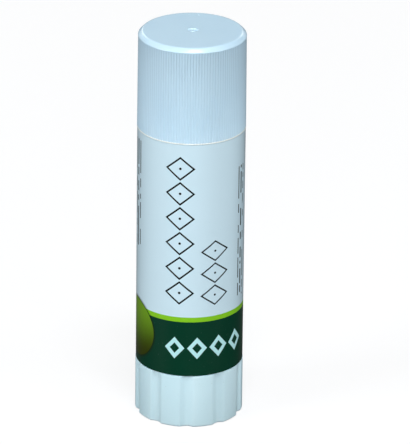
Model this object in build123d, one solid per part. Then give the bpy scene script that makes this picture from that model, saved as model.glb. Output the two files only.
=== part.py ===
from build123d import *
import math
import os

# The stick stands upright on its turning knob, with +Z up its axis.
# The origin is the centre of the knob's foot. All lengths are in millimetres.

# Driving dimensions of the whole stick
total_height = 97.5
knob_height = 13.35
cap_height = 24.15
barrel_radius = 12.85

# Barrel: the tube under the label, its end wall, its shoulder and its neck
neck_wall = 1.02
end_wall_thickness = 1.7
end_wall_ledge = 2.64
edge_chamfer = 0.3
neck_bead_proud = 0.13
neck_bead_width = 1.2
neck_bead_lift = 4.5
guide_rib_count = 4
guide_rib_width = 0.9
guide_rib_depth = 0.35
guide_rib_foot = 1.2
guide_rib_mouth = 4.0

# Label wrapped round the barrel
label_thickness = 0.08
label_margin = 0.3

# Turning knob
knob_proud = 0.15
knob_wall = 1.75
knob_floor = 1.5
knob_foot_chamfer = 0.3
flute_count = 10
flute_radius = 2.1
flute_depth = 0.62
flute_edge_fillet = 0.35
flute_first_angle = -91.8
foot_rim = 3.4
foot_recess_depth = 0.8
web_count = 5
web_thickness = 1.0
web_drop = 1.6

# Snap collar that holds the knob in the barrel's end wall
collar_wall = 1.1
collar_shoulder = 0.8
collar_bead_proud = 0.35
collar_bead_height = 0.8
collar_tip_height = 0.35
collar_slot_count = 4
collar_slot_width = 1.0
collar_slot_depth = 7.5

# Screw spindle, and the drive that is pressed into the knob's socket
thread_lead = 10.0
thread_core_radius = 2.3
thread_height = 0.9
thread_root_width = 1.9
thread_crest_width = 0.8
thread_flat_inset = 0.25
spindle_below_mouth = 8.0
spindle_tip_height = 0.8
spindle_flange_thickness = 1.0
drive_sides = 6
drive_flat_to_flat = 4.4
drive_lift = 4.2
socket_wall = 1.7

# Carrier: the cup and nut under the glue
carrier_height = 8.0
carrier_floor = 1.2
carrier_wall = 0.9
carrier_lip_height = 1.1
carrier_waist = 0.35
nut_wall = 1.65
anchor_web_count = 4
anchor_web_thickness = 0.8
anchor_web_height = 3.0

# Glue column
glue_edge_chamfer = 0.4

# Cap
cap_proud = 0.15
cap_draft = 0.1
cap_wall = 1.1
cap_top_thickness = 1.2
cap_rim_radius = 1.2
cap_rim_steps = 3
cap_smooth_rim = 1.5
cap_rib_count = 120
cap_rib_depth = 0.17
cap_rib_inset = 0.03
mouth_room = 4.3
seal_wall = 0.8
seal_reach = 0.8
gate_radius = 1.3
gate_depth = 0.25
gate_pip_radius = 0.45
gate_pip_height = 0.15

# Fits and clearances
knob_rim_gap = 0.15
turning_clearance = 0.06
collar_bead_gap = 0.1
thread_clearance = 0.15
carrier_foot_gap = 0.5
carrier_clearance = 0.08
glue_clearance = 0.3
glue_seal_gap = 0.3
glue_above_spindle = 0.6
guide_clearance = 0.2
cap_clearance = 0.05
seal_clearance = 0.1
drive_clearance = 0.02
adhesive_gap = 0.02
root_overlap = 0.15
cut_overrun = 1.0

# Radii worked out from the outside inwards
knob_radius = barrel_radius + knob_proud
cap_radius = barrel_radius + cap_proud
cap_bore_radius = cap_radius - cap_wall
neck_radius = cap_bore_radius - cap_clearance - neck_bead_proud
bore_radius = neck_radius - neck_wall
guide_rib_radius = bore_radius - guide_rib_depth
collar_radius = bore_radius - end_wall_ledge - turning_clearance
collar_bore_radius = collar_radius - collar_wall
carrier_radius = bore_radius - carrier_clearance
cup_radius = carrier_radius - carrier_waist - carrier_wall
glue_radius = bore_radius - glue_clearance
thread_radius = thread_core_radius + thread_height
nut_radius = thread_radius + thread_clearance + nut_wall
drive_radius = drive_flat_to_flat / 2
socket_radius = drive_radius / math.cos(math.pi / drive_sides) + drive_clearance + socket_wall

# Levels worked out from the foot upwards
floor_middle = foot_recess_depth + knob_floor / 2
floor_top = foot_recess_depth + knob_floor
barrel_foot = knob_height + knob_rim_gap
end_wall_top = barrel_foot + end_wall_thickness
collar_bead_foot = end_wall_top + collar_bead_gap
collar_top = collar_bead_foot + collar_bead_height + collar_tip_height
drive_foot = floor_top + drive_lift
flange_top = collar_top + spindle_flange_thickness
carrier_foot = flange_top + carrier_foot_gap
carrier_floor_top = carrier_foot + carrier_floor
carrier_top = carrier_foot + carrier_height

# Levels worked out from the top downwards
cap_inner_top = total_height - cap_top_thickness
mouth_level = cap_inner_top - mouth_room
seal_foot = mouth_level - seal_reach
glue_top = seal_foot - glue_seal_gap
spindle_top = mouth_level - spindle_below_mouth
shoulder_level = total_height - cap_height


def turned(*outline):
    """A solid of revolution about the stick's axis, from (radius, height) points."""
    return revolve(Plane.XZ * make_face(Polyline(*outline, close=True)), Axis.Z)


def tube(outer, inner, low, high):
    """A plain upright tube between two levels."""
    return turned((inner, low), (outer, low), (outer, high), (inner, high))


def post(outline, low, high):
    """An outline stood up as a bar between two levels."""
    return Pos(0, 0, low) * extrude(outline, high - low)


def spokes(count, first_angle, inner, outer, width, low, high):
    """Upright radial bars, evenly spaced round the axis."""
    bars = Sketch()
    for index in range(count):
        turn = Rot(0, 0, first_angle + index * 360 / count)
        bars += turn * Pos((inner + outer) / 2, 0) * Rectangle(outer - inner, width)
    return post(bars, low, high)


def guide_notches(low, high, outer):
    """The slots that clear the barrel's guide ribs, to cut from what slides past them."""
    inner = guide_rib_radius - guide_clearance
    width = guide_rib_width + 2 * guide_clearance
    return spokes(guide_rib_count, 0, inner, outer + cut_overrun, width, low, high)


def polar(radius, degrees):
    angle = math.radians(degrees)
    return (radius * math.cos(angle), radius * math.sin(angle))


def screw_ridge(growth, low, high):
    """A stretch of the left-hand screw's ridge between two levels of its middle, grown all
    round by a clearance and sunk into the core. Its turn follows from its level, so the
    nut and the spindle are in mesh."""
    root = thread_core_radius - root_overlap
    crest = thread_radius + growth
    root_half = thread_root_width / 2 + growth
    crest_half = thread_crest_width / 2 + growth
    section = ((root, -root_half), (crest, -crest_half), (crest, crest_half), (root, root_half))
    path = Helix(thread_lead, high - low, thread_radius, lefthand=True)
    ridge = sweep(Plane.XZ * make_face(Polyline(*section, close=True)), path=path, is_frenet=True)
    return Pos(0, 0, low) * Rot(0, 0, -360 * (low - flange_top) / thread_lead) * ridge


def neck_bead(middle):
    """A low ridge round the neck, sloped both ways so that the cap's bore slides over it."""
    low = middle - neck_bead_width / 2
    high = middle + neck_bead_width / 2
    crest = neck_radius + neck_bead_proud
    inside = neck_radius - neck_bead_proud
    return turned((inside, low), (neck_radius, low), (crest, middle), (neck_radius, high), (inside, high))


def build_barrel():
    hole_radius = collar_radius + turning_clearance
    barrel = turned(
        (hole_radius, barrel_foot),
        (barrel_radius, barrel_foot),
        (barrel_radius, shoulder_level - edge_chamfer),
        (barrel_radius - edge_chamfer, shoulder_level),
        (neck_radius, shoulder_level),
        (neck_radius, mouth_level - edge_chamfer),
        (neck_radius - edge_chamfer, mouth_level),
        (bore_radius + edge_chamfer, mouth_level),
        (bore_radius, mouth_level - edge_chamfer),
        (bore_radius, end_wall_top),
        (hole_radius, end_wall_top),
    )
    barrel += neck_bead(shoulder_level + neck_bead_lift)
    rib_outer = bore_radius + guide_rib_depth
    rib_foot = end_wall_top + guide_rib_foot
    rib_top = mouth_level - guide_rib_mouth
    ribs = spokes(guide_rib_count, 0, guide_rib_radius, rib_outer, guide_rib_width, rib_foot, rib_top)
    return barrel + ribs


def build_label():
    inner = barrel_radius + adhesive_gap
    return tube(inner + label_thickness, inner, barrel_foot + label_margin, shoulder_level - label_margin)


def fluted_outline():
    """The knob's outline from above: a circle with round flutes, their edges broken."""
    outline = Sketch() + Circle(knob_radius)
    centre = knob_radius + flute_radius - flute_depth
    for index in range(flute_count):
        turn = Rot(0, 0, flute_first_angle + index * 360 / flute_count)
        outline -= turn * Pos(centre, 0) * Circle(flute_radius)
    return fillet(outline.vertices(), flute_edge_fillet)


def build_collar():
    """The ring of snap fingers that the barrel's end wall turns on."""
    bead_radius = collar_radius + collar_bead_proud
    collar = turned(
        (collar_bore_radius, floor_middle),
        (collar_radius + collar_shoulder, floor_middle),
        (collar_radius + collar_shoulder, barrel_foot),
        (collar_radius, barrel_foot),
        (collar_radius, collar_bead_foot),
        (bead_radius, collar_bead_foot),
        (bead_radius, collar_bead_foot + collar_bead_height),
        (collar_radius, collar_top),
        (collar_bore_radius, collar_top),
    )
    slot_inner = collar_bore_radius - cut_overrun
    slot_outer = bead_radius + cut_overrun
    slot_foot = collar_top - collar_slot_depth
    return collar - spokes(collar_slot_count, 0, slot_inner, slot_outer, collar_slot_width, slot_foot,
                           collar_top + cut_overrun)


def build_knob():
    shell_radius = knob_radius - knob_wall
    knob = extrude(fluted_outline(), knob_height)
    knob &= turned(
        (0, 0),
        (knob_radius - knob_foot_chamfer, 0),
        (knob_radius + cut_overrun, knob_foot_chamfer + cut_overrun),
        (knob_radius + cut_overrun, knob_height),
        (0, knob_height),
    )
    knob -= post(Circle(knob_radius - foot_rim), -cut_overrun, foot_recess_depth)
    knob -= post(Circle(shell_radius), floor_top, knob_height + cut_overrun)
    web_angle = flute_first_angle + 180 / flute_count
    web_outer = shell_radius + knob_wall / 2
    web_top = knob_height - web_drop
    knob += spokes(web_count, web_angle, collar_radius, web_outer, web_thickness, floor_middle, web_top)
    knob += build_collar()
    knob += post(Circle(socket_radius), floor_middle, collar_top)
    socket = RegularPolygon(drive_radius + drive_clearance, drive_sides, major_radius=False)
    return knob - post(socket, drive_foot - drive_clearance, collar_top + cut_overrun)


def build_spindle():
    """The screw, its ridge broken by two flats where the mould parts, over its hexagon drive."""
    drive = post(RegularPolygon(drive_radius, drive_sides, major_radius=False), drive_foot, collar_top)
    thread_top = spindle_top - spindle_tip_height
    shaft = turned(
        (0, collar_top),
        (socket_radius, collar_top),
        (socket_radius, flange_top),
        (thread_core_radius, flange_top),
        (thread_core_radius, thread_top),
        (thread_core_radius - spindle_tip_height, spindle_top),
        (0, spindle_top),
    )
    ridge_foot = flange_top - spindle_flange_thickness / 2 + thread_root_width / 2
    ridge = screw_ridge(0, ridge_foot, thread_top - thread_root_width / 2)
    flat_radius = thread_core_radius - thread_flat_inset
    between_flats = Rectangle(2 * (thread_radius + cut_overrun), 2 * flat_radius)
    return drive + shaft + (ridge & post(between_flats, collar_top, spindle_top))


def build_carrier():
    waist_radius = carrier_radius - carrier_waist
    foot_lip = carrier_foot + carrier_lip_height
    top_lip = carrier_top - carrier_lip_height
    carrier = turned(
        (0, carrier_foot),
        (waist_radius, carrier_foot),
        (carrier_radius, carrier_foot + carrier_waist),
        (carrier_radius, foot_lip),
        (waist_radius, foot_lip + carrier_waist),
        (waist_radius, top_lip - carrier_waist),
        (carrier_radius, top_lip),
        (carrier_radius, carrier_top),
        (cup_radius, carrier_top),
        (cup_radius, carrier_floor_top),
        (nut_radius, carrier_floor_top),
        (nut_radius, carrier_top),
        (0, carrier_top),
    )
    carrier += anchor_webs(0)
    carrier -= guide_notches(carrier_foot - cut_overrun, carrier_top + cut_overrun, carrier_radius)
    run_out = thread_root_width + cut_overrun
    carrier -= screw_ridge(thread_clearance, carrier_foot - run_out, carrier_top + run_out)
    bore = Circle(thread_core_radius + thread_clearance)
    return carrier - post(bore, carrier_foot - cut_overrun, carrier_top + cut_overrun)


def anchor_webs(below):
    """The low webs across the cup's floor, which the glue is cast round."""
    inner = nut_radius - nut_wall / 2
    outer = cup_radius + carrier_wall / 2
    low = carrier_floor_top - carrier_floor / 2 - below
    high = carrier_floor_top + anchor_web_height
    return spokes(anchor_web_count, 180 / anchor_web_count, inner, outer, anchor_web_thickness, low, high)


def build_glue():
    glue = turned(
        (thread_radius + glue_clearance, carrier_top),
        (nut_radius, carrier_top),
        (nut_radius, carrier_floor_top),
        (cup_radius, carrier_floor_top),
        (cup_radius, carrier_top),
        (glue_radius, carrier_top),
        (glue_radius, glue_top - glue_edge_chamfer),
        (glue_radius - glue_edge_chamfer, glue_top),
        (0, glue_top),
        (0, spindle_top + glue_above_spindle),
        (thread_radius + glue_clearance, spindle_top + glue_above_spindle),
    )
    glue -= anchor_webs(cut_overrun)
    return glue - guide_notches(carrier_top, glue_top + cut_overrun, glue_radius)


def ribbed_outline(crest_radius):
    """The cap's outline from above: fine ribs with sharp roots between them."""
    pitch = 360 / cap_rib_count
    points = []
    for index in range(cap_rib_count):
        points.append(polar(crest_radius, index * pitch))
        points.append(polar(crest_radius - cap_rib_depth, (index + 1 / 2) * pitch))
    return make_face(Polyline(*points, close=True)).face()


def rim_points(radius):
    """The cap's round rim in short straight steps, from its side to its flat top."""
    points = []
    for index in range(cap_rim_steps + 1):
        across, up = polar(cap_rim_radius, 90 * index / cap_rim_steps)
        points.append((radius - cap_rim_radius + across, total_height - cap_rim_radius + up))
    return points


def build_cap():
    rib_top = total_height - cap_smooth_rim
    crown_radius = cap_radius - cap_draft
    low_ribs = Pos(0, 0, shoulder_level) * ribbed_outline(cap_radius)
    high_ribs = Pos(0, 0, rib_top) * ribbed_outline(crown_radius - cap_rib_inset)
    cap = loft([low_ribs, high_ribs], ruled=True)
    cap += turned((0, rib_top), (crown_radius, rib_top), *rim_points(crown_radius), (0, total_height))
    cap -= turned(
        (0, shoulder_level - cut_overrun),
        (cap_bore_radius, shoulder_level - cut_overrun),
        (cap_bore_radius, cap_inner_top - edge_chamfer),
        (cap_bore_radius - edge_chamfer, cap_inner_top),
        (0, cap_inner_top),
    )
    seal_radius = bore_radius - seal_clearance
    cap += turned(
        (seal_radius - seal_wall, seal_foot),
        (seal_radius - edge_chamfer, seal_foot),
        (seal_radius, seal_foot + edge_chamfer),
        (seal_radius, total_height - cap_top_thickness / 2),
        (seal_radius - seal_wall, total_height - cap_top_thickness / 2),
    )
    cap -= post(Circle(gate_radius), total_height - gate_depth, total_height + cut_overrun)
    return cap + post(Circle(gate_pip_radius), total_height - cap_top_thickness / 2,
                      total_height - gate_depth + gate_pip_height)


os.makedirs("parts", exist_ok=True)
nodes = {
    "barrel": build_barrel(),
    "label": build_label(),
    "knob": build_knob(),
    "spindle": build_spindle(),
    "carrier": build_carrier(),
    "glue": build_glue(),
    "cap": build_cap(),
}
for name, shape in nodes.items():
    export_step(shape, f"parts/{name}.step")
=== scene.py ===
import math
from types import SimpleNamespace as Sizes

import bmesh
import bpy
from mathutils import Matrix, Vector


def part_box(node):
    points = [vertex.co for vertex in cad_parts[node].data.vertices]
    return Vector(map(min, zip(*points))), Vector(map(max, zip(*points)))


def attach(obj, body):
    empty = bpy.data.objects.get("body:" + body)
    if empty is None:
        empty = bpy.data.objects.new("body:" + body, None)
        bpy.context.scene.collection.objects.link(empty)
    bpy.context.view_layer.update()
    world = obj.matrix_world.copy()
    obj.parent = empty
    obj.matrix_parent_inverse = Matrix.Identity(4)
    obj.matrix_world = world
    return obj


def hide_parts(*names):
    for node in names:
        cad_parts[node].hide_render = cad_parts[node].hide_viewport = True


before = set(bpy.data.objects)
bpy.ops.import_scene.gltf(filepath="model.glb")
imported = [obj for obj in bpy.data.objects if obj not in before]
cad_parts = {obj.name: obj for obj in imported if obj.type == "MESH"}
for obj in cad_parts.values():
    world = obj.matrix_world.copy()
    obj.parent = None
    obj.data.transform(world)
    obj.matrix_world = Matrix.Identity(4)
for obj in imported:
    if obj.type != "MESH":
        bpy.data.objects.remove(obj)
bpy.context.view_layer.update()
scene = bpy.context.scene
fullTurn = 2 * math.pi


def metres(millimetres):
    return millimetres / 1000


def lowAndHigh(node):
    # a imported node's foot and top, in millimetres
    low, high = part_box(node)
    return low[2] * 1000, high[2] * 1000


def paint(red, green, blue):
    # a colour as a screen shows it, turned into the linear colour that a socket takes
    parts = [value / 255 for value in (red, green, blue)]
    linear = [part / 12.92 if part < 0.04045 else ((part + 0.055) / 1.055) ** 2.4 for part in parts]
    return (*linear, 1)


def addObject(name, data):
    added = bpy.data.objects.new(name, data)
    scene.collection.objects.link(added)
    return added


# camera, as the photograph was taken

photoCamera = Sizes(aim=(0, 0, 49), tilt=22.75, roll=0.673, distance=1300, right=3.47, up=-0.66, lens=439.3,
                    sensor=36, nearClip=50, farClip=60000)


def placeCamera(sizes):
    tilt = math.radians(sizes.tilt)
    roll = math.radians(sizes.roll)
    back = Vector((0, -math.cos(tilt), math.sin(tilt)))
    level = Vector((1, 0, 0))
    upright = Vector((0, math.sin(tilt), math.cos(tilt)))
    right = level * math.cos(roll) + upright * math.sin(roll)
    up = upright * math.cos(roll) - level * math.sin(roll)
    place = Vector(sizes.aim) + back * sizes.distance + right * sizes.right + up * sizes.up
    camera = bpy.data.cameras.new("photoCamera")
    camera.sensor_fit = "VERTICAL"
    camera.sensor_height = sizes.sensor
    camera.lens = sizes.lens
    camera.clip_start = metres(sizes.nearClip)
    camera.clip_end = metres(sizes.farClip)
    holder = addObject("photoCamera", camera)
    turn = Matrix((right, up, back)).transposed().to_4x4()
    holder.matrix_world = Matrix.Translation(metres(place)) @ turn
    scene.camera = holder


placeCamera(photoCamera)
print("camera placed")


# small tools for node trees

def feed(tree, node, links):
    # each input takes a link from a socket, or a plain value
    for key, value in links.items():
        if isinstance(value, bpy.types.NodeSocket):
            tree.links.new(value, node.inputs[key])
        else:
            node.inputs[key].default_value = value


def addNode(tree, kind, links=None, **settings):
    made = tree.nodes.new(kind)
    for name, value in settings.items():
        setattr(made, name, value)
    feed(tree, made, links or {})
    return made


def addSocket(tree, name, kind, side="INPUT"):
    return tree.interface.new_socket(name=name, in_out=side, socket_type="NodeSocket" + kind)


def calc(tree, operation, *values):
    return addNode(tree, "ShaderNodeMath", dict(enumerate(values)), operation=operation).outputs[0]


def plus(tree, first, second):
    return calc(tree, "ADD", first, second)


def minus(tree, first, second):
    return calc(tree, "SUBTRACT", first, second)


def times(tree, first, second):
    return calc(tree, "MULTIPLY", first, second)


def over(tree, first, second):
    return calc(tree, "DIVIDE", first, second)


def partsOf(tree, vector):
    return addNode(tree, "ShaderNodeSeparateXYZ", {0: vector}).outputs


def vectorOf(tree, **parts):
    return addNode(tree, "ShaderNodeCombineXYZ", parts).outputs[0]


def rootOfSquares(tree, first, second):
    return calc(tree, "SQRT", plus(tree, calc(tree, "POWER", first, 2), calc(tree, "POWER", second, 2)))


def between(tree, value, low, high):
    # 1 while the value lies between low and high, 0 elsewhere
    return times(tree, calc(tree, "GREATER_THAN", value, low), calc(tree, "LESS_THAN", value, high))


def ribShare(tree, turns):
    # 1 on the middle of each rib and 0 in the middle of each groove, while the turns count the ribs
    return times(tree, calc(tree, "ABSOLUTE", minus(tree, calc(tree, "FRACT", turns), 0.5)), 2)


def ramp(tree, value, low, high, start=0.0, end=1.0):
    # a soft step from start to end while the value goes from low to high
    links = {"Value": value, "From Min": low, "From Max": high, "To Min": start, "To Max": end}
    return addNode(tree, "ShaderNodeMapRange", links, interpolation_type="SMOOTHSTEP").outputs["Result"]


def noiseOf(tree, vector, scale, detail=2.0, roughness=0.5):
    links = {"Vector": vector, "Scale": scale, "Detail": detail, "Roughness": roughness}
    return addNode(tree, "ShaderNodeTexNoise", links).outputs[0]


# outlines and meshes

def at(radius, height, rounding=0, wave=0, lump=0):
    # a corner of an outline in millimetres, with its share of the wave round the piece and of the lumps
    return radius, height, rounding, wave, lump


def roundedOutline(corners, closed=False, bends=5):
    # the points of the outline, as radius, height, wave share and lump share
    outline = []
    for index, (radius, height, rounding, wave, lump) in enumerate(corners):
        here = Vector((radius, height))
        atEnd = not closed and index in (0, len(corners) - 1)
        if atEnd or rounding == 0:
            outline.append((radius, height, wave, lump))
            continue
        before = (Vector(corners[index - 1][:2]) - here).normalized()
        after = (Vector(corners[(index + 1) % len(corners)][:2]) - here).normalized()
        half = before.angle(after) / 2
        centre = here + (before + after).normalized() * rounding / math.sin(half)
        spoke = here + before * rounding / math.tan(half) - centre
        sweep = (math.pi - 2 * half) * (1 if spoke.cross(here - centre) > 0 else -1)
        for step in range(bends + 1):
            turn = sweep * step / bends
            across = spoke.x * math.cos(turn) - spoke.y * math.sin(turn)
            up = spoke.x * math.sin(turn) + spoke.y * math.cos(turn)
            outline.append((centre.x + across, centre.y + up, wave, lump))
    if closed:
        outline.append(outline[0])
    return outline


def outlineMesh(name, outline):
    # the outline as loose points that carry their wave and lump shares
    mesh = bpy.data.meshes.new(name)
    mesh.from_pydata([(metres(point[0]), 0, metres(point[1])) for point in outline], [], [])
    for place, share in ((2, "wave"), (3, "lump")):
        layer = mesh.attributes.new(share, "FLOAT", "POINT")
        for index, point in enumerate(outline):
            layer.data[index].value = point[place]
    return mesh


def meshOf(name, shape):
    mesh = bpy.data.meshes.new(name)
    shape.to_mesh(mesh)
    shape.free()
    return mesh


def softBar(inner, outer, width, low, high, softening):
    # one upright bar on the +X side, its edges bevelled, to be copied round the axis
    shape = bmesh.new()
    bmesh.ops.create_cube(shape, size=1)
    for vertex in shape.verts:
        across = inner if vertex.co.x < 0 else outer
        height = low if vertex.co.z < 0 else high
        vertex.co = (metres(across), metres(width) * vertex.co.y, metres(height))
    bmesh.ops.bevel(shape, geom=shape.edges[:], offset=metres(softening), segments=2, affect="EDGES",
                    profile=0.5)
    return meshOf("bar", shape)


def sector(outline, halfAngle, steps):
    # a closed piece of a ring, from minus to plus the half angle about +X
    points = [(point[0], point[1]) for point in outline[:-1]]
    places, faces = [], []
    for step in range(steps + 1):
        angle = halfAngle * (2 * step / steps - 1)
        for radius, height in points:
            out = metres(radius)
            places.append((out * math.cos(angle), out * math.sin(angle), metres(height)))
    count = len(points)
    for step in range(steps):
        for index in range(count):
            after = (index + 1) % count
            first, second = step * count, (step + 1) * count
            faces.append((first + index, first + after, second + after, second + index))
    faces.append(tuple(range(count)))
    faces.append(tuple(range(steps * count, (steps + 1) * count)))
    mesh = bpy.data.meshes.new("sector")
    mesh.from_pydata(places, [], faces)
    return mesh


def makePiece(name, meshes, material, body, node):
    # one closed, outward-facing mesh from the given ones, riding on its body in its node's place
    shape = bmesh.new()
    for mesh in meshes:
        shape.from_mesh(mesh)
    bmesh.ops.recalc_face_normals(shape, faces=shape.faces)
    finished = meshOf(name, shape)
    finished.materials.append(material)
    piece = addObject(name, finished)
    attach(piece, body)
    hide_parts(node)
    print("piece", name, len(finished.polygons), "faces")


# Geometry Nodes: an outline turned round the axis, with a wave round it

weldDistance = 2e-7  # metres
creaseAngle = math.radians(50)


def geometryTree(name, inputs):
    tree = bpy.data.node_groups.new(name, "GeometryNodeTree")
    for socket, kind in inputs:
        addSocket(tree, socket, kind)
    addSocket(tree, "Geometry", "Geometry", "OUTPUT")
    return tree, addNode(tree, "NodeGroupInput").outputs


def closeTree(tree, geometry, material):
    # each tree ends in plain geometry that carries its material
    real = addNode(tree, "GeometryNodeRealizeInstances", {"Geometry": geometry})
    dressed = addNode(tree, "GeometryNodeSetMaterial", {"Geometry": real.outputs[0], "Material": material})
    addNode(tree, "NodeGroupOutput", {"Geometry": dressed.outputs[0]})
    return tree


def ribWave(tree, inputs, angle):
    # flat-topped ribs with a soft root between them
    turns = plus(tree, times(tree, angle, over(tree, inputs["Wave count"], fullTurn)), inputs["Wave start"])
    crest = minus(tree, 1, inputs["Crest share"])
    sunk = ramp(tree, ribShare(tree, turns), inputs["Root share"], crest, 1.0, 0.0)
    return times(tree, sunk, times(tree, inputs["Wave depth"], -1))


def fluteWave(tree, inputs, angle):
    # round flutes cut by a cylinder, their edges softened
    radius, flute = inputs["Wave radius"], inputs["Flute radius"]
    pitch = over(tree, fullTurn, inputs["Wave count"])
    turns = plus(tree, over(tree, angle, pitch), inputs["Wave start"])
    aside = times(tree, minus(tree, calc(tree, "FRACT", turns), 0.5), pitch)
    reach = minus(tree, plus(tree, radius, flute), inputs["Wave depth"])
    across = times(tree, reach, calc(tree, "SINE", aside))
    left = minus(tree, calc(tree, "POWER", flute, 2), calc(tree, "POWER", across, 2))
    chord = calc(tree, "SQRT", calc(tree, "MAXIMUM", left, 0))
    cut = minus(tree, times(tree, reach, calc(tree, "COSINE", aside)), chord)
    wall = calc(tree, "SMOOTH_MIN", radius, cut, inputs["Flute edge"])
    return minus(tree, wall, radius)


def turnedTree(name, wave, waveSizes):
    # a grid with a row for each point of the outline and a column for each step round the axis
    sizes = ("Wave count", "Wave start", "Wave depth", *waveSizes, "Lump height", "Lump scale",
             "Sharp angle")
    floats = [(size, "Float") for size in sizes]
    tree, inputs = geometryTree(name, [("Outline", "Geometry"), ("Steps", "Int"), *floats,
                                       ("Material", "Material")])
    counted = addNode(tree, "GeometryNodeAttributeDomainSize", {"Geometry": inputs["Outline"]})
    rows = counted.outputs["Point Count"]
    columns = plus(tree, inputs["Steps"], 1)
    grid = addNode(tree, "GeometryNodeMeshGrid", {"Vertices X": columns, "Vertices Y": rows})
    index = addNode(tree, "GeometryNodeInputIndex").outputs[0]
    column = calc(tree, "FLOOR", over(tree, plus(tree, index, 0.5), rows))
    row = minus(tree, index, times(tree, column, rows))

    def sampled(kind, value):
        links = {"Geometry": inputs["Outline"], "Value": value, "Index": row}
        return addNode(tree, "GeometryNodeSampleIndex", links, data_type=kind).outputs["Value"]

    def share(attribute):
        named = addNode(tree, "GeometryNodeInputNamedAttribute", {"Name": attribute}, data_type="FLOAT")
        return sampled("FLOAT", named.outputs["Attribute"])

    place = sampled("FLOAT_VECTOR", addNode(tree, "GeometryNodeInputPosition").outputs[0])
    spot = partsOf(tree, place)
    angle = times(tree, column, over(tree, fullTurn, inputs["Steps"]))
    radius = plus(tree, spot["X"], times(tree, wave(tree, inputs, angle), share("wave")))
    across = times(tree, radius, calc(tree, "COSINE", angle))
    along = times(tree, radius, calc(tree, "SINE", angle))
    flat = vectorOf(tree, X=across, Y=along, Z=spot["Z"])
    noise = noiseOf(tree, flat, inputs["Lump scale"])
    lump = times(tree, minus(tree, noise, 0.5), inputs["Lump height"])
    rise = vectorOf(tree, Z=times(tree, lump, share("lump")))
    full = addNode(tree, "ShaderNodeVectorMath", {0: flat, 1: rise}, operation="ADD").outputs[0]
    shaped = addNode(tree, "GeometryNodeSetPosition", {"Geometry": grid.outputs["Mesh"], "Position": full})

    # the seam and the poles are welded, and only sharp edges are creased
    links = {"Geometry": shaped.outputs[0], "Distance": weldDistance}
    welded = addNode(tree, "GeometryNodeMergeByDistance", links)
    links = {"Geometry": welded.outputs[0], "Shade Smooth": True}
    smooth = addNode(tree, "GeometryNodeSetShadeSmooth", links)
    fold = addNode(tree, "GeometryNodeInputMeshEdgeAngle").outputs["Unsigned Angle"]
    links = {"A": fold, "B": inputs["Sharp angle"]}
    sharp = addNode(tree, "FunctionNodeCompare", links, operation="GREATER_THAN").outputs[0]
    links = {"Geometry": smooth.outputs[0], "Selection": sharp, "Shade Smooth": False}
    creased = addNode(tree, "GeometryNodeSetShadeSmooth", links, domain="EDGE")
    return closeTree(tree, creased.outputs[0], inputs["Material"])


def aroundTree():
    # copies of one mesh, evenly spaced round the axis
    tree, inputs = geometryTree("aroundTheAxis", [("One", "Geometry"), ("Count", "Int"),
                                                  ("First angle", "Float"), ("Material", "Material")])
    points = addNode(tree, "GeometryNodePoints", {"Count": inputs["Count"]})
    index = addNode(tree, "GeometryNodeInputIndex").outputs[0]
    step = times(tree, index, over(tree, fullTurn, inputs["Count"]))
    euler = vectorOf(tree, Z=plus(tree, step, inputs["First angle"]))
    turn = addNode(tree, "FunctionNodeEulerToRotation", {0: euler})
    links = {"Points": points.outputs[0], "Instance": inputs["One"], "Rotation": turn.outputs[0]}
    copies = addNode(tree, "GeometryNodeInstanceOnPoints", links)
    return closeTree(tree, copies.outputs[0], inputs["Material"])


ribbedShell = turnedTree("ribbedShell", ribWave, ("Root share", "Crest share"))
flutedShell = turnedTree("flutedShell", fluteWave, ("Wave radius", "Flute radius", "Flute edge"))
aroundTheAxis = aroundTree()
print("geometry trees ready")


def grow(name, mesh, tree, values):
    # runs a Geometry Nodes tree on a mesh and returns the plain mesh that comes out
    seed = addObject(name, mesh)
    modifier = seed.modifiers.new("grow", "NODES")
    modifier.node_group = tree
    for item in tree.interface.items_tree:
        if item.item_type == "SOCKET" and item.in_out == "INPUT" and item.name in values:
            modifier[item.identifier] = values[item.name]
    seed.update_tag()
    bpy.context.view_layer.update()
    ready = seed.evaluated_get(bpy.context.evaluated_depsgraph_get())
    grown = bpy.data.meshes.new_from_object(ready)
    seed.modifiers.remove(modifier)
    bpy.data.objects.remove(seed)
    return grown


def turned(name, outline, tree, material, steps, wave):
    # an outline turned round the axis: plain, but for the wave's own values
    values = {"Steps": steps, "Wave count": 1.0, "Wave start": 0.0, "Wave depth": 0.0, "Root share": 0.0,
              "Crest share": 0.5, "Lump height": 0.0, "Lump scale": 1.0, "Sharp angle": creaseAngle,
              "Material": material, **wave}
    return grow(name, outlineMesh(name + "Outline", outline), tree, values)


def copiedRound(name, mesh, material, count, firstAngle):
    values = {"Count": count, "First angle": firstAngle, "Material": material}
    return grow(name, mesh, aroundTheAxis, values)


# shader groups shared by the plastics, the label and the glue

skinNoise = Sizes(grainDetail=3.0, grainRoughness=0.6, streakStretch=0.08, streakDetail=3.0, toneScale=38.0,
                  grainPart=0.7, streakPart=0.3)
handling = Sizes(patchScale=95.0, patchFrom=0.5, patchTo=0.68, lineStretch=3.0, lineScale=900.0,
                 lineFrom=0.35, lineTo=0.65, faintest=0.55, speckScale=2600.0, speckFrom=0.73, speckTo=0.79,
                 fineDetail=1.0)


def shaderGroup(name, sizes, results, vector=True):
    # a node group with a number for each size and each result
    group = bpy.data.node_groups.new(name, "ShaderNodeTree")
    if vector:
        addSocket(group, "Vector", "Vector")
    for size in sizes:
        addSocket(group, size, "Float")
    for result in results:
        addSocket(group, result, "Float", "OUTPUT")
    return group, addNode(group, "NodeGroupInput").outputs


def useGroup(tree, group, links):
    return addNode(tree, "ShaderNodeGroup", links, node_tree=group).outputs


def stretched(tree, vector, along):
    links = {0: vector, 1: (1, 1, along)}
    return addNode(tree, "ShaderNodeVectorMath", links, operation="MULTIPLY").outputs[0]


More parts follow.
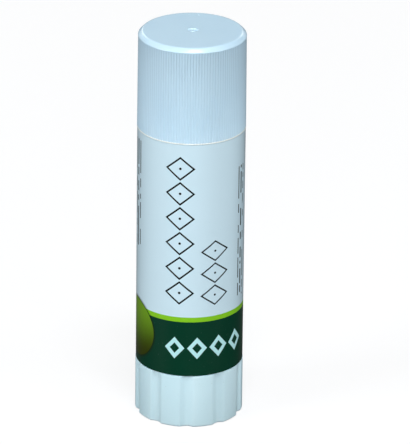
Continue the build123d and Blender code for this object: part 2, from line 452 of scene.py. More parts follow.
def mouldedSkinGroup(sizes):
    # the skin of a moulded plastic: fine grain, flow streaks up the piece and slow changes of tone
    group, inputs = shaderGroup("mouldedSkin", ("Grain scale", "Flow scale"), ("Height", "Streak", "Tone"))
    vector = inputs["Vector"]
    grain = noiseOf(group, vector, inputs["Grain scale"], sizes.grainDetail, sizes.grainRoughness)
    upward = stretched(group, vector, sizes.streakStretch)
    streak = noiseOf(group, upward, inputs["Flow scale"], sizes.streakDetail)
    tone = noiseOf(group, vector, sizes.toneScale)
    height = plus(group, times(group, grain, sizes.grainPart), times(group, streak, sizes.streakPart))
    addNode(group, "NodeGroupOutput", {"Height": height, "Streak": streak, "Tone": tone})
    return group


def handledGroup(sizes):
    # faint marks of fingers and specks of dust
    group, inputs = shaderGroup("handled", ("Smudge", "Dust"), ("Smudges", "Specks"))
    vector = inputs["Vector"]
    patch = ramp(group, noiseOf(group, vector, sizes.patchScale), sizes.patchFrom, sizes.patchTo)
    squeezed = stretched(group, vector, sizes.lineStretch)
    lines = noiseOf(group, squeezed, sizes.lineScale, sizes.fineDetail)
    ridges = ramp(group, lines, sizes.lineFrom, sizes.lineTo, sizes.faintest, 1.0)
    smudges = times(group, times(group, patch, ridges), inputs["Smudge"])
    dots = noiseOf(group, vector, sizes.speckScale, sizes.fineDetail)
    specks = times(group, ramp(group, dots, sizes.speckFrom, sizes.speckTo), inputs["Dust"])
    addNode(group, "NodeGroupOutput", {"Smudges": smudges, "Specks": specks})
    return group


def grooveGroup():
    # painted shade where light is lost between upright ribs: 1 in a groove, 0 on a rib and outside the ribs'
    # height
    group, inputs = shaderGroup("grooveShade", ("Count", "Width", "Foot", "Top"), ("Mask",))
    spot = partsOf(group, inputs["Vector"])
    angle = calc(group, "ARCTAN2", spot["Y"], spot["X"])
    share = ribShare(group, times(group, angle, over(group, inputs["Count"], fullTurn)))
    inside = between(group, spot["Z"], inputs["Foot"], inputs["Top"])
    mask = times(group, ramp(group, share, 0.0, inputs["Width"], 1.0, 0.0), inside)
    addNode(group, "NodeGroupOutput", {"Mask": mask})
    return group


mouldedSkin = mouldedSkinGroup(skinNoise)
handled = handledGroup(handling)
grooveShade = grooveGroup()


# plastics

def blend(tree, share, first, second):
    # inputs 6 and 7 of a Mix node are its two colours
    links = {0: share, 6: first, 7: second}
    return addNode(tree, "ShaderNodeMix", links, data_type="RGBA").outputs[2]


def newMaterial(name):
    material = bpy.data.materials.new(name)
    material.use_nodes = True
    tree = material.node_tree
    place = addNode(tree, "ShaderNodeTexCoord").outputs["Object"]
    return material, tree, tree.nodes["Principled BSDF"], place


def bumpOf(tree, height, strength, depth):
    links = {"Height": height, "Strength": strength, "Distance": metres(depth)}
    return addNode(tree, "ShaderNodeBump", links).outputs[0]


moulding = Sizes(toneFrom=0.35, toneTo=0.65, streakFrom=0.45, streakTo=0.75, glossChange=0.12,
                 bumpDepth=0.04)
polypropylene = {"IOR": 1.49, "Subsurface Radius": (1.0, 1.1, 1.2), "Subsurface Scale": 0.0012}
# the lip colour is a painted highlight: a pale band at the cap's open end, where light catches the rib ends
capRibs = Sizes(count=120, lip=paint(244, 255, 255), lipHeight=0.4, lipFade=0.08, endDrop=1.2,
                groove=paint(120, 155, 180), grooveWidth=0.7, grooveShare=0.13)


def ribbedColour(tree, place, colour, ribs):
    # the painted highlight along the lip at the cap's open end, and the painted shade in the grooves between
    # its ribs
    foot, top = lowAndHigh("cap")
    lipTop = foot + ribs.lipHeight
    level = partsOf(tree, place)["Z"]
    # painted highlight: the colour turns pale below the top of the lip
    lip = ramp(tree, level, metres(lipTop - ribs.lipFade), metres(lipTop), 1.0, 0.0)
    withLipHighlight = blend(tree, lip, colour, ribs.lip)
    links = {"Vector": place, "Count": float(ribs.count), "Width": ribs.grooveWidth,
             "Foot": metres(lipTop), "Top": metres(top - ribs.endDrop)}
    # painted shade: the groove colour darkens the grooves between the ribs
    groove = useGroup(tree, grooveShade, links)["Mask"]
    return blend(tree, times(tree, groove, ribs.grooveShare), withLipHighlight, ribs.groove)


def plastic(name, look, ribs=None):
    # moulded polypropylene: its colour, gloss and skin come from the piece's own look
    material, tree, shader, place = newMaterial(name)
    links = {"Vector": place, "Grain scale": look.grainScale, "Flow scale": look.flowScale}
    skin = useGroup(tree, mouldedSkin, links)
    marks = useGroup(tree, handled, {"Vector": place, "Smudge": look.smudge, "Dust": look.dust})
    tone = ramp(tree, skin["Tone"], moulding.toneFrom, moulding.toneTo)
    tinted = blend(tree, tone, look.deep, look.pale)
    streak = ramp(tree, skin["Streak"], moulding.streakFrom, moulding.streakTo)
    streaked = blend(tree, times(tree, streak, look.streak), tinted, look.clear)
    colour = blend(tree, marks["Specks"], streaked, look.speck)
    # the cap's colour also gets a painted highlight at its lip and painted shade in its grooves
    if ribs:
        colour = ribbedColour(tree, place, colour, ribs)
    gloss = plus(tree, look.roughness, times(tree, marks["Smudges"], moulding.glossChange))
    uneven = times(tree, minus(tree, skin["Streak"], 0.5), moulding.glossChange)
    bump = bumpOf(tree, skin["Height"], look.bump, moulding.bumpDepth)
    feed(tree, shader, {"Base Color": colour, "Roughness": plus(tree, gloss, uneven), "Normal": bump,
                        "Subsurface Weight": look.depth, **polypropylene})
    return material


capLook = Sizes(deep=paint(193, 223, 242), pale=paint(198, 227, 245), clear=paint(203, 231, 247),
                speck=paint(168, 184, 192), streak=0.05, roughness=0.24, grainScale=2600.0, flowScale=220.0,
                smudge=0.15, dust=0.25, bump=0.02, depth=0.12)
knobLook = Sizes(deep=paint(204, 236, 247), pale=paint(209, 239, 249), clear=paint(214, 242, 251),
                 speck=paint(170, 188, 196), streak=0.4, roughness=0.4, grainScale=2400.0, flowScale=300.0,
                 smudge=0.6, dust=0.3, bump=0.1, depth=0.1)
barrelLook = Sizes(deep=paint(210, 236, 247), pale=paint(214, 238, 248), clear=paint(218, 240, 249),
                   speck=paint(178, 194, 202), streak=0.4, roughness=0.3, grainScale=2200.0, flowScale=260.0,
                   smudge=0.3, dust=0.1, bump=0.1, depth=0.1)
innerLook = Sizes(deep=paint(205, 214, 217), pale=paint(214, 221, 223), clear=paint(224, 230, 231),
                  speck=paint(186, 194, 197), streak=0.5, roughness=0.42, grainScale=2000.0, flowScale=240.0,
                  smudge=0.1, dust=0.1, bump=0.15, depth=0.15)

capPlastic = plastic("capPlastic", capLook, capRibs)
knobPlastic = plastic("knobPlastic", knobLook)
barrelPlastic = plastic("barrelPlastic", barrelLook)
innerPlastic = plastic("innerPlastic", innerLook)
print("plastics ready")


# the glue's wax

glueLook = Sizes(deep=paint(238, 236, 226), pale=paint(246, 245, 238), speck=paint(228, 224, 210), dust=0.15,
                 toneFrom=0.35, toneTo=0.65, cloudScale=160.0, cloudDetail=4.0, cloudPart=0.4,
                 dragStretch=0.2, dragScale=500.0, dragDetail=3.0, dragPart=0.6, roughness=0.28,
                 glossChange=0.25, bump=0.5, bumpDepth=0.1)
waxBody = {"IOR": 1.45, "Subsurface Weight": 0.35, "Subsurface Radius": (1.0, 0.9, 0.7),
           "Subsurface Scale": 0.002}


def glueMaterial(look, body):
    material, tree, shader, place = newMaterial("glueWax")
    marks = useGroup(tree, handled, {"Vector": place, "Dust": look.dust})
    cloud = noiseOf(tree, place, look.cloudScale, look.cloudDetail)
    drag = noiseOf(tree, stretched(tree, place, look.dragStretch), look.dragScale, look.dragDetail)
    mottled = blend(tree, ramp(tree, cloud, look.toneFrom, look.toneTo), look.deep, look.pale)
    dusty = blend(tree, marks["Specks"], mottled, look.speck)
    gloss = plus(tree, look.roughness, times(tree, drag, look.glossChange))
    height = plus(tree, times(tree, drag, look.dragPart), times(tree, cloud, look.cloudPart))
    bump = bumpOf(tree, height, look.bump, look.bumpDepth)
    feed(tree, shader, {"Base Color": dusty, "Roughness": gloss, "Normal": bump, **body})
    return material


glueWax = glueMaterial(glueLook, waxBody)


# the label's print, laid out in millimetres on the label's own map: u round it, v up it

inkEdge = 0.05  # half the soft edge of a drawn line
dashNoise = Sizes(rowStep=17.3, scale=0.55, low=0.42, high=0.44)


def drawnWithin(tree, past):
    # 1 inside a drawn line and 0 outside, from how far past its edge a point lies
    return ramp(tree, past, -inkEdge, inkEdge, 1.0, 0.0)


def lozengeGroup():
    # a chain of lozenges drawn with one stroke, with a dot in each
    sizes = ("Along", "Across", "Start", "Length", "Pitch", "Half width", "Stroke", "Dot")
    group, inputs = shaderGroup("lozengeChain", sizes, ("Ink",), vector=False)
    pitch, halfWidth, stroke = inputs["Pitch"], inputs["Half width"], inputs["Stroke"]
    along = minus(group, inputs["Along"], inputs["Start"])
    cell = minus(group, calc(group, "FRACT", over(group, along, pitch)), 0.5)
    local = calc(group, "ABSOLUTE", times(group, cell, pitch))
    aside = calc(group, "ABSOLUTE", inputs["Across"])
    halfHeight = minus(group, over(group, pitch, 2), stroke)
    reach = plus(group, over(group, local, halfHeight), over(group, aside, halfWidth))
    slope = rootOfSquares(group, over(group, 1, halfHeight), over(group, 1, halfWidth))
    away = over(group, calc(group, "ABSOLUTE", minus(group, reach, 1)), slope)
    line = drawnWithin(group, minus(group, away, over(group, stroke, 2)))
    dot = drawnWithin(group, minus(group, rootOfSquares(group, local, aside), inputs["Dot"]))
    within = between(group, along, 0, inputs["Length"])
    addNode(group, "NodeGroupOutput", {"Ink": times(group, calc(group, "MAXIMUM", line, dot), within)})
    return group


def dashGroup(sizes):
    # thin dashed rules side by side, of uneven lengths
    names = ("Along", "Across", "Start", "Length", "Row gap", "Half width", "Stroke", "Seed")
    group, inputs = shaderGroup("dashedRules", names, ("Ink",), vector=False)
    across, gap = inputs["Across"], inputs["Row gap"]
    row = calc(group, "ROUND", over(group, across, gap))
    off = calc(group, "ABSOLUTE", minus(group, across, times(group, row, gap)))
    line = drawnWithin(group, minus(group, off, over(group, inputs["Stroke"], 2)))
    rowPlace = times(group, row, sizes.rowStep)
    where = vectorOf(group, X=inputs["Along"], Y=rowPlace, Z=inputs["Seed"])
    dashes = ramp(group, noiseOf(group, where, sizes.scale, 0.0), sizes.low, sizes.high)
    along = minus(group, inputs["Along"], inputs["Start"])
    near = calc(group, "LESS_THAN", calc(group, "ABSOLUTE", across), inputs["Half width"])
    area = times(group, between(group, along, 0, inputs["Length"]), near)
    addNode(group, "NodeGroupOutput", {"Ink": times(group, times(group, line, dashes), area)})
    return group


lozengeChain = lozengeGroup()
dashedRules = dashGroup(dashNoise)

printLayout = {
    "bandTop": 27.64, "lineTop": 28.88, "edge": 0.04,
    "tallChain": {"middle": -2.52, "Start": 32.0, "Length": 38.4, "Pitch": 6.4, "Half width": 3.3,
                  "Stroke": 0.42, "Dot": 0.32},
    "shortChain": {"middle": 6.28, "Start": 31.5, "Length": 17.1, "Pitch": 5.7, "Half width": 3.4,
                   "Stroke": 0.36, "Dot": 0.28},
    "bandChain": {"middle": 20.8, "Start": -6.3, "Length": 22.0, "Pitch": 5.5, "Half width": 2.1,
                  "Stroke": 0.95, "Dot": 0.0},
    "rightRules": {"middle": 15.3, "Start": 31.4, "Length": 33.9, "Row gap": 1.3, "Half width": 1.4,
                   "Stroke": 0.55, "Seed": 3.0},
    "leftRules": {"middle": -16.7, "Start": 43.8, "Length": 27.4, "Row gap": 1.5, "Half width": 1.6,
                  "Stroke": 0.6, "Seed": 8.0},
    "backRules": {"middle": 39.5, "Start": 34.0, "Length": 34.0, "Row gap": 1.9, "Half width": 10.2,
                  "Stroke": 0.45, "Seed": 21.0},
    "badge": {"u": -16.65, "v": 22.85, "radius": 7.5, "rim": 0.2, "shade": 0.7, "shadeShare": 0.5,
              "lean": -0.25, "darkBelow": -6.5, "lightAbove": 5.5},
}
inks = Sizes(white=paint(211, 237, 249), whiteDeep=paint(207, 234, 247), dark=paint(0, 58, 40),
             darkDeep=paint(0, 54, 36), line=paint(134, 203, 36), black=paint(10, 18, 20),
             bandShape=paint(190, 240, 244), badgeLight=paint(112, 158, 34), badgeDark=paint(50, 60, 0),
             dust=paint(150, 165, 170), badgeRim=paint(20, 38, 12))
filmLook = Sizes(cloudScale=60.0, cloudDetail=3.0, smudge=0.6, dust=0.25, dustShare=0.5, roughness=0.3,
                 smudgeGloss=0.15, inkGloss=0.1, rippleStretch=0.5, rippleScale=130.0, ripplePart=0.8,
                 fineScale=1500.0, fineDetail=1.0, finePart=0.1, bump=0.2, bumpDepth=0.08)
filmBody = {"IOR": 1.5, "Specular IOR Level": 0.1, "Coat Weight": 0.7, "Coat Roughness": 0.12}


def below(tree, value, level, edge):
    # 1 below the level and 0 above it, with the soft edge of a printed colour
    return ramp(tree, value, level - edge, level + edge, 1.0, 0.0)


def badgeOver(tree, badge, edge, u, v, colour, colours):
    # a plain disc, lighter towards its top left, with a dark rim and a soft shade round it
    aside = minus(tree, u, badge["u"])
    above = minus(tree, v, badge["v"])
    out = rootOfSquares(tree, aside, above)
    shade = ramp(tree, out, badge["radius"], badge["radius"] + badge["shade"], badge["shadeShare"], 0.0)
    shaded = blend(tree, shade, colour, colours.badgeRim)
    height = plus(tree, times(tree, aside, badge["lean"]), above)
    light = ramp(tree, height, badge["darkBelow"], badge["lightAbove"])
    disc = blend(tree, light, colours.badgeDark, colours.badgeLight)
    rimmed = blend(tree, below(tree, out, badge["radius"] - badge["rim"], edge), colours.badgeRim, disc)
    return blend(tree, below(tree, out, badge["radius"], edge), shaded, rimmed)


def labelMaterial(layout, colours, look, body):
    material, tree, shader, place = newMaterial("labelFilm")
    mapped = addNode(tree, "ShaderNodeUVMap", uv_map="print").outputs[0]
    split = partsOf(tree, mapped)
    u, v, edge = split["X"], split["Y"], layout["edge"]

    def drawn(name, group, along, across):
        sizes = dict(layout[name])
        middle = sizes.pop("middle")
        links = {"Along": along, "Across": minus(tree, across, middle), **sizes}
        return useGroup(tree, group, links)["Ink"]

    cloud = noiseOf(tree, place, look.cloudScale, look.cloudDetail)
    paper = blend(tree, cloud, colours.whiteDeep, colours.white)
    tall = drawn("tallChain", lozengeChain, v, u)
    black = calc(tree, "MAXIMUM", tall, drawn("shortChain", lozengeChain, v, u))
    for name in ("rightRules", "leftRules", "backRules"):
        black = calc(tree, "MAXIMUM", black, drawn(name, dashedRules, v, u))
    printed = blend(tree, black, paper, colours.black)
    lined = blend(tree, below(tree, v, layout["lineTop"], edge), printed, colours.line)
    band = blend(tree, cloud, colours.darkDeep, colours.dark)
    banded = blend(tree, below(tree, v, layout["bandTop"], edge), lined, band)
    shapes = blend(tree, drawn("bandChain", lozengeChain, u, v), banded, colours.bandShape)
    colour = badgeOver(tree, layout["badge"], edge, u, v, shapes, colours)
    marks = useGroup(tree, handled, {"Vector": place, "Smudge": look.smudge, "Dust": look.dust})
    dusty = blend(tree, times(tree, marks["Specks"], look.dustShare), colour, colours.dust)
    gloss = plus(tree, look.roughness, times(tree, marks["Smudges"], look.smudgeGloss))
    inked = plus(tree, gloss, times(tree, black, look.inkGloss))
    ripple = noiseOf(tree, stretched(tree, place, look.rippleStretch), look.rippleScale)
    fine = noiseOf(tree, place, look.fineScale, look.fineDetail)
    height = plus(tree, times(tree, ripple, look.ripplePart), times(tree, fine, look.finePart))
    bump = bumpOf(tree, height, look.bump, look.bumpDepth)
    feed(tree, shader, {"Base Color": dusty, "Roughness": inked, "Normal": bump, **body})
    return material


labelFilm = labelMaterial(printLayout, inks, filmLook, filmBody)
print("label print ready")


# cap: fine ribs, a smooth round rim, a gate dimple on top and a seal skirt inside

capSizes = Sizes(openRadius=12.99, topRadius=12.9, boreRadius=11.9, ribs=capRibs.count, ribDepth=0.1,
                 ribInset=0.04, ribStep=0.03, ribFade=0.12, crestShare=0.4, smoothRim=1.06, rimAcross=0.98,
                 rimDrop=0.93, upperRound=0.8, lowerRound=0.5, support=0.3, lowerBand=0.28, bandFade=0.08,
                 lipRound=0.05, mouthRound=0.15, topThickness=1.2, ceilingRound=0.5, gateRadius=1.3,
                 gateDepth=0.25, gateRound=0.12, gateFoot=0.1, pipRadius=0.45, pipHeight=0.15, pipRound=0.08,
                 pipFoot=0.05, sealRadius=10.6, sealWall=0.8, sealFoot=17.85, sealRound=0.2, sealBevel=0.3,
                 sealEdge=0.1, stepsPerRib=8)


def buildCap(sizes):
    foot, top = lowAndHigh("cap")
    ceiling = top - sizes.topThickness
    ribTop = top - sizes.smoothRim
    gateFloor = top - sizes.gateDepth
    pipTop = gateFloor + sizes.pipHeight
    band = foot + sizes.lowerBand
    topRadius, openRadius, bore = sizes.topRadius, sizes.openRadius, sizes.boreRadius
    rimInner = topRadius - sizes.rimAcross
    ribRadius = topRadius - sizes.ribInset
    seal, sealFoot = sizes.sealRadius, foot + sizes.sealFoot
    sealInner = seal - sizes.sealWall
    outline = roundedOutline([
        at(0, pipTop),
        at(sizes.pipRadius, pipTop, sizes.pipRound),
        at(sizes.pipRadius + sizes.pipFoot, gateFloor, sizes.pipFoot),
        at(sizes.gateRadius - sizes.gateFoot, gateFloor, sizes.gateFoot),
        at(sizes.gateRadius, top, sizes.gateRound),
        at(sizes.gateRadius + sizes.support, top),
        at(rimInner - sizes.upperRound, top),
        at(rimInner, top, sizes.upperRound),
        at(topRadius, top - sizes.rimDrop, sizes.lowerRound),
        at(topRadius, ribTop),
        at(ribRadius, ribTop - sizes.ribStep),
        at(ribRadius, ribTop - sizes.ribFade, wave=1),
        at(openRadius, band + sizes.bandFade, wave=1),
        at(openRadius, band),
        at(openRadius, foot, sizes.lipRound),
        at(bore, foot, sizes.mouthRound),
        at(bore, ceiling, sizes.ceilingRound),
        at(seal, ceiling, sizes.sealRound),
        at(seal, sealFoot + sizes.sealBevel),
        at(seal - sizes.sealBevel, sealFoot, sizes.sealEdge),
        at(sealInner, sealFoot, sizes.sealEdge),
        at(sealInner, ceiling, sizes.sealRound),
        at(0, ceiling),
    ])
    wave = {"Wave count": float(sizes.ribs), "Wave depth": metres(sizes.ribDepth),
            "Crest share": sizes.crestShare}
    steps = sizes.ribs * sizes.stepsPerRib
    mesh = turned("cap", outline, ribbedShell, capPlastic, steps, wave)
    makePiece("cap_shell", [mesh], capPlastic, "cap", "cap")


buildCap(capSizes)


# knob: ten round flutes, a hollow foot, the snap fingers of the collar and the webs to it

knobSizes = Sizes(radius=13.0, height=13.35, wall=1.75, floor=1.5, recess=0.8, recessRadius=9.6,
                  recessRound=0.25, edgeRound=0.15, innerRound=0.3, footRound=0.42, topRound=0.12,
                  footPlain=11.4, rimPlain=11.6, waveFrom=12.2, flutes=10, fluteRadius=2.1, fluteDepth=0.62,
                  fluteEdge=0.7, firstFlute=-91.8, stepsPerFlute=48, collarRadius=8.0, collarBore=6.9,
                  collarFoot=8.8, collarRound=0.1, beadFoot=15.3, beadRadius=8.35, beadHeight=0.8,
                  beadFootRound=0.05, beadRound=0.08, beadTopRound=0.2, slotFoot=8.95, slotWidth=1.0,
                  fingers=4, fingerSteps=20, socketRadius=4.26, socketBore=2.56, socketFloor=6.5, webs=5,
                  webThickness=1.0, webDrop=1.6, webIntoCollar=0.2, webIntoWall=0.3, webSoftening=0.12,
                  rimGap=0.15)


def buildKnob(sizes):
    foot, collarTop = lowAndHigh("knob")
    rim = foot + sizes.height
    recessTop = foot + sizes.recess
    floorTop = foot + sizes.recess + sizes.floor
    socketFloor = foot + sizes.socketFloor
    radius, bore = sizes.radius, sizes.radius - sizes.wall
    socketRadius, socketBore = sizes.socketRadius, sizes.socketBore
    slotFoot, collarBore, shoulder = foot + sizes.slotFoot, sizes.collarBore, sizes.collarFoot
    edge, inner, collarEdge = sizes.edgeRound, sizes.innerRound, sizes.collarRound
    outline = roundedOutline([
        at(0, recessTop),
        at(sizes.recessRadius, recessTop, sizes.recessRound),
        at(sizes.recessRadius, foot, edge),
        at(sizes.footPlain, foot),
        at(sizes.waveFrom, foot, wave=1),
        at(radius, foot, sizes.footRound, wave=1),
        at(radius, rim, sizes.topRound, wave=1),
        at(sizes.waveFrom, rim, wave=1),
        at(sizes.rimPlain, rim),
        at(bore, rim, edge),
        at(bore, floorTop, inner),
        at(shoulder, floorTop, inner),
        at(shoulder, slotFoot),
        at(collarBore, slotFoot),
        at(collarBore, floorTop, inner),
        at(socketRadius, floorTop, inner),
        at(socketRadius, collarTop, collarEdge),
        at(socketBore, collarTop, collarEdge),
        at(socketBore, socketFloor),
        at(0, socketFloor),
    ])
    start = 0.5 - sizes.firstFlute * sizes.flutes / 360
    wave = {"Wave count": float(sizes.flutes), "Wave start": start,
            "Wave depth": metres(sizes.fluteDepth), "Wave radius": metres(radius),
            "Flute radius": metres(sizes.fluteRadius), "Flute edge": metres(sizes.fluteEdge)}
    steps = sizes.flutes * sizes.stepsPerFlute
    shell = turned("knob", outline, flutedShell, knobPlastic, steps, wave)

    # the fingers stand on the collar's whole ring, one slot apart
    neck, bead = foot + sizes.height + sizes.rimGap, foot + sizes.beadFoot
    collar, beadRadius = sizes.collarRadius, sizes.beadRadius
    finger = roundedOutline([
        at(collarBore, slotFoot),
        at(shoulder, slotFoot),
        at(shoulder, neck, collarEdge),
        at(collar, neck, collarEdge),
        at(collar, bead, sizes.beadFootRound),
        at(beadRadius, bead, sizes.beadRound),
        at(beadRadius, bead + sizes.beadHeight, sizes.beadTopRound),
        at(collar, collarTop, collarEdge),
        at(collarBore, collarTop, edge),
    ], closed=True, bends=3)
    halfPitch = math.pi / sizes.fingers
    one = sector(finger, halfPitch - sizes.slotWidth / 2 / collar, sizes.fingerSteps)
    fingers = copiedRound("fingers", one, knobPlastic, sizes.fingers, halfPitch)

    # the webs run a little way into the collar, the wall and the floor
    into = sizes.webIntoWall
    web = softBar(shoulder - sizes.webIntoCollar, bore + into, sizes.webThickness, floorTop - into,
                  rim - sizes.webDrop, sizes.webSoftening)
    webAngle = math.radians(sizes.firstFlute + 180 / sizes.flutes)
    webs = copiedRound("webs", web, knobPlastic, sizes.webs, webAngle)
    makePiece("turning_knob", [shell, fingers, webs], knobPlastic, "knob", "knob")


buildKnob(knobSizes)


# barrel: the tube, its neck with a bead for the cap, and four guide ribs inside

barrelSizes = Sizes(radius=12.85, neckRadius=11.72, boreRadius=10.7, holeRadius=8.06, endWall=1.7,
                    holeRound=0.1, edgeRound=0.15, shoulderRound=0.3, mouthRound=0.4, mouthInnerRound=0.35,
                    wallRound=0.2, shoulder=59.85, beadLift=4.5, beadWidth=1.2, beadProud=0.13, beadSteps=8,
                    guides=4, guideWidth=0.9, guideDepth=0.35, guideFoot=1.2, guideTop=4.0,
                    guideIntoWall=0.2, guideSoftening=0.1, steps=224)


def buildBarrel(sizes):
    foot, mouth = lowAndHigh("barrel")
    shoulder = foot + sizes.shoulder
    radius, hole = sizes.radius, sizes.holeRadius
    neck, bore = sizes.neckRadius, sizes.boreRadius
    wallTop = foot + sizes.endWall
    bead = []
    for step in range(sizes.beadSteps + 1):
        share = step / sizes.beadSteps
        proud = sizes.beadProud * math.sin(math.pi * share)
        height = shoulder + sizes.beadLift + sizes.beadWidth * (share - 0.5)
        bead.append(at(neck + proud, height))
    outline = roundedOutline([
        at(hole, foot, sizes.holeRound),
        at(radius, foot, sizes.edgeRound),
        at(radius, shoulder, sizes.shoulderRound),
        at(neck, shoulder, sizes.edgeRound),
        *bead,
        at(neck, mouth, sizes.mouthRound),
        at(bore, mouth, sizes.mouthInnerRound),
        at(bore, wallTop, sizes.wallRound),
        at(hole, wallTop, sizes.holeRound),
    ], closed=True)
    tube = turned("barrel", outline, ribbedShell, barrelPlastic, sizes.steps, {})
    guide = softBar(bore - sizes.guideDepth, bore + sizes.guideIntoWall, sizes.guideWidth,
                    wallTop + sizes.guideFoot, mouth - sizes.guideTop, sizes.guideSoftening)
    guides = copiedRound("guides", guide, barrelPlastic, sizes.guides, 0.0)
    makePiece("barrel_tube", [tube, guides], barrelPlastic, "barrel", "barrel")


buildBarrel(barrelSizes)


# label: printed film wrapped once round, its end lapped over its start at the back

labelSizes = Sizes(inner=12.88, thickness=0.05, lap=3.2, lapRise=0.9, lapGap=0.004, steps=360, rows=24,
                   footLap=0.25, topLap=0.2, mapRadius=12.95)


def buildLabel(sizes):
    foot, top = lowAndHigh("label")
    foot, top = foot - sizes.footLap, top + sizes.topLap
    lapTurn = sizes.lap / sizes.mapRadius
    riseTurn = sizes.lapRise / sizes.mapRadius
    total = fullTurn + lapTurn
    shape = bmesh.new()
    layer = shape.loops.layers.uv.new("print")
    rings = []
    for step in range(sizes.steps + 1):
        turn = -math.pi + total * step / sizes.steps
        angle = turn - math.pi / 2
        lift = min(max((turn - math.pi + riseTurn) / riseTurn, 0), 1)
        inner = sizes.inner + (sizes.thickness + sizes.lapGap) * lift * lift * (3 - 2 * lift)
        ring = []
        for side in (inner + sizes.thickness, inner):
            column = []
            for row in range(sizes.rows + 1):
                height = foot + (top - foot) * row / sizes.rows
                spot = metres(Vector((side * math.cos(angle), side * math.sin(angle), height)))
                column.append((shape.verts.new(spot), turn * sizes.mapRadius, height))
            ring.append(column)
        rings.append(ring)

    def face(*corners):
        made = shape.faces.new([corner[0] for corner in corners])
        made.smooth = True
        for loop, corner in zip(made.loops, corners):
            loop[layer].uv = corner[1:]

    for here, there in zip(rings, rings[1:]):
        for row in range(sizes.rows):
            face(here[0][row], there[0][row], there[0][row + 1], here[0][row + 1])
            face(here[1][row + 1], there[1][row + 1], there[1][row], here[1][row])
        for row in (0, sizes.rows):
            face(here[1][row], there[1][row], there[0][row], here[0][row])
    for ring in (rings[0], rings[-1]):
        for row in range(sizes.rows):
            face(ring[0][row], ring[0][row + 1], ring[1][row + 1], ring[1][row])
    shape.normal_update()
    for edge in shape.edges:
        if len(edge.link_faces) == 2 and edge.calc_face_angle() > creaseAngle:
            edge.smooth = False
    wrap = meshOf("labelWrap", shape)
    makePiece("label_wrap", [wrap], labelFilm, "barrel", "label")


buildLabel(labelSizes)


# glue: a waxy column with grooves for the guide ribs and a slightly uneven end

glueSizes = Sizes(radius=10.4, cupRadius=9.37, nutRadius=5.0, boreRadius=3.5, cupDepth=6.8, boreTop=6.3,
                  boreRound=0.4, edgeStart=9.5, edgeRound=0.5, grooves=4, grooveDepth=0.25, grooveRoot=0.075,
                  grooveCrest=0.9, steps=480, rings=11, ringStep=0.8, endDrop=0.12, edgeLump=0.6,
                  rimLump=0.3, lumpHeight=0.22, lumpScale=240.0)


def buildGlue(sizes):
    cupFloor, top = lowAndHigh("glue")
    cupTop = cupFloor + sizes.cupDepth
    boreTop = top - sizes.boreTop
    end = top - sizes.endDrop
    radius, cup = sizes.radius, sizes.cupRadius
    nut, bore = sizes.nutRadius, sizes.boreRadius
    outline = roundedOutline([
        *[at(sizes.ringStep * ring, end, lump=1) for ring in range(sizes.rings + 1)],
        at(sizes.edgeStart, end, wave=1, lump=sizes.edgeLump),
        at(radius, end, sizes.edgeRound, wave=1, lump=sizes.rimLump),
        at(radius, cupTop, wave=1),
        at(cup, cupTop),
        at(cup, cupFloor),
        at(nut, cupFloor),
        at(nut, cupTop),
        at(bore, cupTop),
        at(bore, boreTop, sizes.boreRound),
        at(0, boreTop),
    ])
    wave = {"Wave count": float(sizes.grooves), "Wave start": 0.5,
            "Wave depth": metres(sizes.grooveDepth), "Root share": sizes.grooveRoot,
            "Crest share": sizes.grooveCrest, "Lump height": metres(sizes.lumpHeight),
            "Lump scale": sizes.lumpScale}
    mesh = turned("glue", outline, ribbedShell, glueWax, sizes.steps, wave)
    makePiece("glue_column", [mesh], glueWax, "carrier", "glue")


buildGlue(glueSizes)

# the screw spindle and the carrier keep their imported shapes
for node in ("spindle", "carrier"):
    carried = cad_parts[node]
    carried.data.materials.clear()
    carried.data.materials.append(innerPlastic)
print("pieces done")


# floor, backdrop and lamps

floorLook = Sizes(size=16.0, cells=8, shade=paint(120, 122, 124), deep=paint(40, 42, 44), grain=1.03,
                  grainScale=40.0, grainDetail=3.0, glow=0.785, roughness=0.7)
worldLook = Sizes(ambient=paint(232, 236, 240), strength=0.08, backdrop=1.0)
softbox = {"aim": 50, "elevation": 22, "distance": 1250, "width": 480, "height": 500}
lamps = {
    "keySoftbox": {**softbox, "azimuth": -62, "watts": 9.3},
    "frontSoftbox": {**softbox, "azimuth": 0, "watts": 2.9},
    "nearFill": {**softbox, "azimuth": 30, "watts": 2.9},
    "sideFill": {**softbox, "azimuth": 60, "watts": 4.8},
    "topSoftbox": {**softbox, "azimuth": 9, "elevation": 67, "width": 400, "height": 200, "watts": 7.4},
    "backLeft": {**softbox, "azimuth": -158, "watts": 2.0},
    "backRight": {**softbox, "azimuth": 158, "watts": 1.7},
}
white = (1, 1, 1, 1)


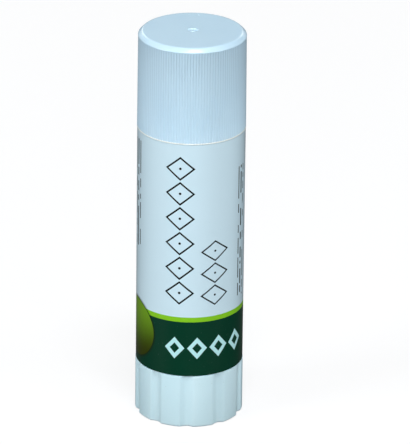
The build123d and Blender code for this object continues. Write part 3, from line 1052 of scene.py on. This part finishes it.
def buildFloor(look):
    # the camera sees a glowing pale floor, and the object gets only the light of its deeper shade
    shape = bmesh.new()
    bmesh.ops.create_grid(shape, x_segments=look.cells, y_segments=look.cells, size=look.size / 2)
    floor = addObject("floor", meshOf("floor", shape))
    material, tree, shader, place = newMaterial("paleFloor")
    seen = addNode(tree, "ShaderNodeLightPath").outputs["Is Camera Ray"]
    grain = noiseOf(tree, place, look.grainScale, look.grainDetail)
    paler = [channel * look.grain for channel in look.shade[:3]] + [1]
    shade = blend(tree, seen, look.deep, blend(tree, grain, look.shade, paler))
    feed(tree, shader, {"Base Color": shade, "Roughness": look.roughness, "Emission Color": white,
                        "Emission Strength": times(tree, seen, look.glow)})
    floor.data.materials.append(material)


def buildWorld(look):
    world = bpy.data.worlds.new("softRoom")
    world.use_nodes = True
    tree = world.node_tree
    ground = tree.nodes["Background"]
    feed(tree, ground, {"Color": look.ambient, "Strength": look.strength})
    backdrop = addNode(tree, "ShaderNodeBackground", {"Color": white, "Strength": look.backdrop})
    path = addNode(tree, "ShaderNodeLightPath").outputs["Is Camera Ray"]
    mixed = addNode(tree, "ShaderNodeMixShader", {0: path, 1: ground.outputs[0], 2: backdrop.outputs[0]})
    feed(tree, tree.nodes["World Output"], {"Surface": mixed.outputs[0]})
    scene.world = world


def buildLamp(name, sizes):
    azimuth, elevation = math.radians(sizes["azimuth"]), math.radians(sizes["elevation"])
    level = math.cos(elevation)
    toward = Vector((math.sin(azimuth) * level, -math.cos(azimuth) * level, math.sin(elevation)))
    lamp = bpy.data.lights.new(name, "AREA")
    lamp.shape = "RECTANGLE"
    lamp.size = metres(sizes["width"])
    lamp.size_y = metres(sizes["height"])
    lamp.energy = sizes["watts"]
    holder = addObject(name, lamp)
    holder.location = Vector((0, 0, metres(sizes["aim"]))) + toward * metres(sizes["distance"])
    holder.rotation_euler = toward.to_track_quat("Z", "Y").to_euler()


buildFloor(floorLook)
buildWorld(worldLook)
for name, sizes in lamps.items():
    buildLamp(name, sizes)
scene.view_settings.view_transform = "Standard"
print("stage ready")
